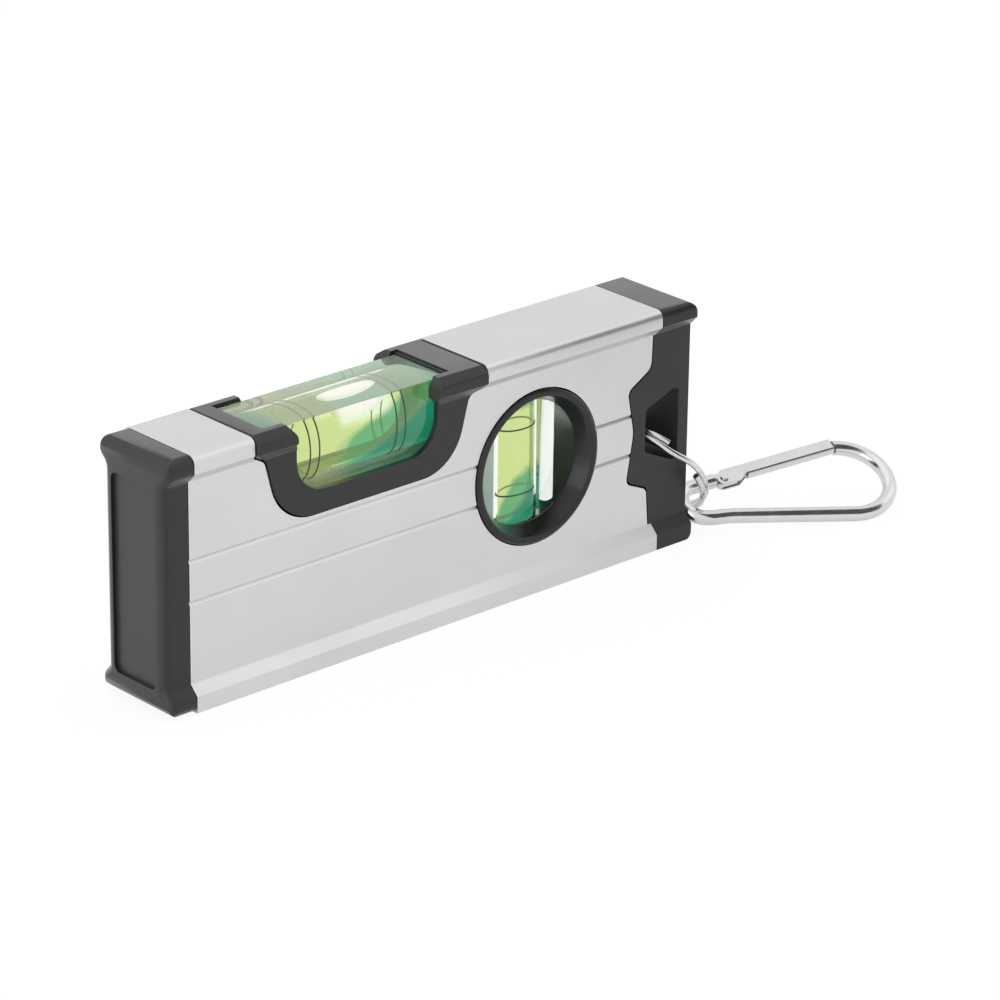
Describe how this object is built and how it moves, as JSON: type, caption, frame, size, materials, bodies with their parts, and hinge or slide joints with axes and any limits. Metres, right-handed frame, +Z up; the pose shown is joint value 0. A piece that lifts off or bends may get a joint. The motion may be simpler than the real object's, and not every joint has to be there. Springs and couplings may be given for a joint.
{
  "type": "mini magnetic level",
  "caption": "Pocket spirit level with an aluminium body, black end caps, a top vial, a plumb vial, a split ring and a sprung snap hook.",
  "frame": {"origin": "Centre of the level's base face, midway between its two ends.", "axes": "+X along the level toward the split ring and hook, -Y toward the front face in the picture, +Z up from the base."},
  "size_m": [0.1414, 0.0353, 0.04],
  "materials": {
    "body_aluminium": "satin anodised",
    "black_plastic": "fine satin grain",
    "clear_acrylic": "clear and polished",
    "green_liquid": "clear yellow-green",
    "black_ink": "printed",
    "magnet_steel": "nickel plated",
    "plated_wire": "bright nickel plate",
    "plated_sheet": "bright nickel plate",
    "spring_steel": "spring steel"
  },
  "bodies": {
    "level_body": {"body_extrusion": "body_aluminium", "left_end_cap": "black_plastic", "right_end_cap": "black_plastic", "base_magnets": "magnet_steel", "top_vial_housing": "black_plastic", "top_vial_block": "clear_acrylic", "top_vial_liquid": "green_liquid", "top_vial_plug": "clear_acrylic", "top_vial_rings": "black_ink", "plumb_bezel_front": "black_plastic", "plumb_bezel_rear": "black_plastic", "plumb_vial_block": "clear_acrylic", "plumb_vial_liquid": "green_liquid", "plumb_vial_plug": "clear_acrylic", "plumb_vial_rings": "black_ink"},
    "ring": {"split_ring": "plated_wire"},
    "hook": {"snap_hook": "plated_wire", "gate_rivet": "plated_sheet"},
    "gate": {"hook_gate": "plated_sheet", "gate_spring": "spring_steel"}
  },
  "joints": [
    {"name": "ring_swing", "type": "hinge", "parent": "level_body", "child": "ring", "pos_m": [0.04515, 0, 0.0178], "axis": [0.1045, -0.9945, 0], "range_deg": [0, 75]},
    {"name": "hook_swing", "type": "hinge", "parent": "ring", "child": "hook", "pos_m": [0.05693, -0.00537, 0.0043], "axis": [0.2809, 0.7378, -0.6138], "range_deg": [-45, 60]},
    {"name": "gate_hinge", "type": "hinge", "parent": "hook", "child": "gate", "pos_m": [0.06323, -0.00414, 0.00572], "axis": [0.144, 0.3872, -0.9107], "range_deg": [0, 35], "stiffness_Nm_per_rad": 0.03, "springref_deg": -34.38}
  ]
}
